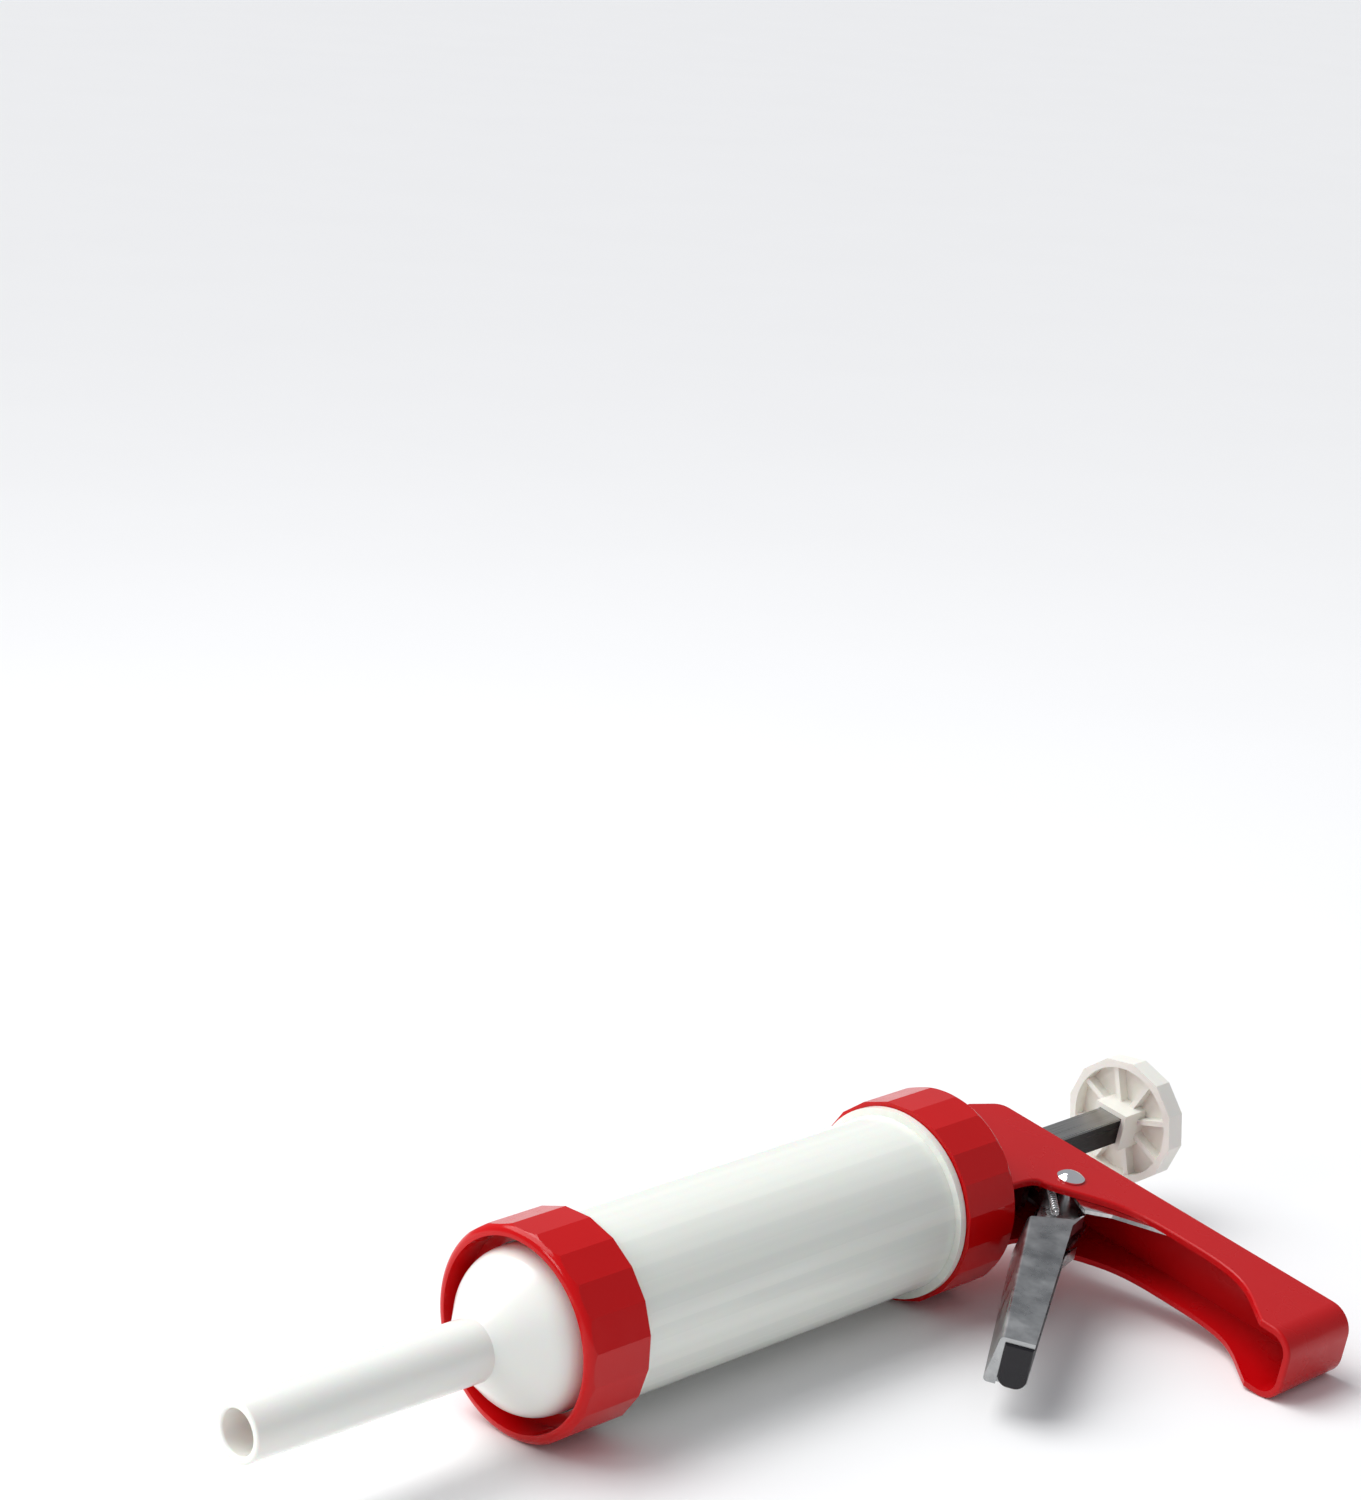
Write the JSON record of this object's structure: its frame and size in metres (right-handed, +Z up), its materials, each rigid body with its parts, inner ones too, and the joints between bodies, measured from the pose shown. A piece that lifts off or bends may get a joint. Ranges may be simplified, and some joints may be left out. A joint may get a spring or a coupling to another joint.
{
  "type": "jerky gun",
  "caption": "Hand-held jerky gun lying on its side: screw-on nozzle and barrel with faceted ring nuts, a caulking-gun handle with trigger, and a square push rod with piston and pull knob.",
  "frame": {"origin": "middle of the floor side of the gun's bounding box, as it lies on its side", "axes": "+X along the barrel towards the pull knob, +Y away from the handle's butt, +Z up from the floor; the gun is rolled about the barrel so that both ring nuts and the butt touch the floor"},
  "size_m": [0.3882, 0.1622, 0.0644],
  "materials": {
    "nozzle": "gloss",
    "ring_nut": "gloss",
    "barrel": "milky translucent",
    "gasket": "matte",
    "handle": "satin",
    "steel": "satin",
    "zinc": "zinc plated",
    "chrome": "polished",
    "knob": "satin",
    "piston": "satin",
    "cap": "gloss"
  },
  "bodies": {
    "handle": {"handle_body": "handle", "pivot_rivet": "chrome", "front_guide": "knob", "rear_guide": "knob", "catch_pin": "steel", "catch_spring": "steel", "spring_anchor": "steel", "trigger_spring": "steel", "drive_spring": "steel"},
    "rear_collar": {"rear_collar": "ring_nut"},
    "barrel": {"barrel": "barrel", "front_gasket": "gasket", "rear_gasket": "gasket"},
    "nozzle": {"nozzle": "nozzle"},
    "front_collar": {"front_collar": "ring_nut"},
    "rod": {"push_rod": "steel", "knob": "knob", "knob_screw": "steel", "piston": "piston", "piston_seal": "gasket", "piston_washer": "steel", "wing_nut": "steel"},
    "trigger": {"trigger": "zinc", "trigger_cap": "cap"},
    "dog": {"drive_dog": "zinc"},
    "release": {"release_lever": "steel"},
    "catch": {"catch_plate": "zinc"}
  },
  "joints": [
    {"name": "rear_collar_turn", "type": "hinge", "parent": "handle", "child": "rear_collar", "pos_m": [0.0701, 0.04889, 0.0322], "axis": [1, 0, 0], "range_deg": [0, 720]},
    {"name": "barrel_draw", "type": "slide", "parent": "handle", "child": "barrel", "axis": [-1, 0, 0], "range_m": [0, 0.0081]},
    {"name": "front_collar_turn", "type": "hinge", "parent": "nozzle", "child": "front_collar", "pos_m": [-0.0941, 0.04889, 0.0322], "axis": [1, 0, 0], "range_deg": [0, 720]},
    {"name": "nozzle_draw", "type": "slide", "parent": "barrel", "child": "nozzle", "axis": [-1, 0, 0], "range_m": [0, 0.0081]},
    {"name": "rod_slide", "type": "slide", "parent": "handle", "child": "rod", "axis": [1, 0, 0], "range_m": [-0.042, 0.088]},
    {"name": "trigger_pull", "type": "hinge", "parent": "handle", "child": "trigger", "pos_m": [0.1191, 0.01831, 0.0271], "axis": [0, -0.1647, 0.9863], "range_deg": [0, 38], "stiffness_Nm_per_rad": 0.3, "springref_deg": -17.19, "deforming": ["trigger_spring"]},
    {"name": "dog_slide", "type": "slide", "parent": "handle", "child": "dog", "axis": [-1, 0, 0], "range_m": [0, 0.0127], "deforming": ["drive_spring"]},
    {"name": "release_press", "type": "hinge", "parent": "handle", "child": "release", "pos_m": [0.1191, 0.01831, 0.0271], "axis": [0, -0.1647, 0.9863], "range_deg": [0, 3], "stiffness_Nm_per_rad": 0.5, "springref_deg": -2.86},
    {"name": "catch_tilt", "type": "hinge", "parent": "handle", "child": "catch", "pos_m": [0.1286, 0.05974, 0.03401], "axis": [0, 0.1647, -0.9863], "range_deg": [0, 3.2]}
  ],
  "couplings": [
    {"joint": "barrel_draw", "follows": "rear_collar_turn", "m_per_rad": 0.00063662},
    {"joint": "nozzle_draw", "follows": "front_collar_turn", "m_per_rad": 0.00063662},
    {"joint": "dog_slide", "follows": "trigger_pull", "m_per_rad": 0.0188},
    {"joint": "catch_tilt", "follows": "release_press", "ratio": 0.97}
  ]
}
